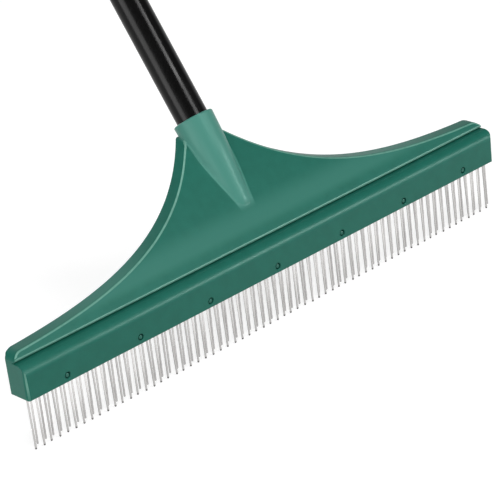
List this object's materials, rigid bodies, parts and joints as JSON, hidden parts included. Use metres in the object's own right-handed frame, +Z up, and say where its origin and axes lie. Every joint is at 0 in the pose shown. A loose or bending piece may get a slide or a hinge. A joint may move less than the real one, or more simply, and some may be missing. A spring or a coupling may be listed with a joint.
{
  "type": "turf rake",
  "caption": "Turf rake: wide moulded head with a curved plate and screw socket, a close row of spring wire hairpin tines underneath, and a long straight tubular handle with a hanging eye.",
  "frame": {"origin": "middle of the flat land on the underside of the head's bar, behind the tine slot; the tine tips are 38.5 mm below it", "axes": "+X along the bar, to the right seen from the side with the pin heads; +Y back, the way the handle leans; +Z up, away from the tine tips"},
  "size_m": [0.457, 0.7894, 1.2333],
  "materials": {
    "green_plastic": "moulded green plastic with a fine texture and a soft sheen",
    "black_plastic": "moulded black plastic",
    "spring_wire": "bright drawn spring wire, greyer at the rounded tips",
    "black_coated_steel": "smooth black satin coating on steel tube"
  },
  "bodies": {
    "root": {"rake_head": "green_plastic", "tine_rail": "black_plastic", "tine_set_01": "spring_wire", "tine_set_02": "spring_wire", "tine_set_03": "spring_wire", "tine_set_04": "spring_wire", "tine_set_05": "spring_wire", "tine_set_06": "spring_wire", "tine_set_07": "spring_wire", "tine_set_08": "spring_wire", "tine_set_09": "spring_wire", "tine_set_10": "spring_wire", "tine_set_11": "spring_wire", "tine_set_12": "spring_wire", "tine_set_13": "spring_wire", "lock_pin_1": "green_plastic", "lock_pin_2": "green_plastic", "lock_pin_3": "green_plastic", "lock_pin_4": "green_plastic", "lock_pin_5": "green_plastic", "lock_pin_6": "green_plastic", "lock_pin_7": "green_plastic", "handle_tube": "black_coated_steel", "threaded_tip": "black_plastic", "hang_cap": "black_plastic"}
  },
  "joints": []
}
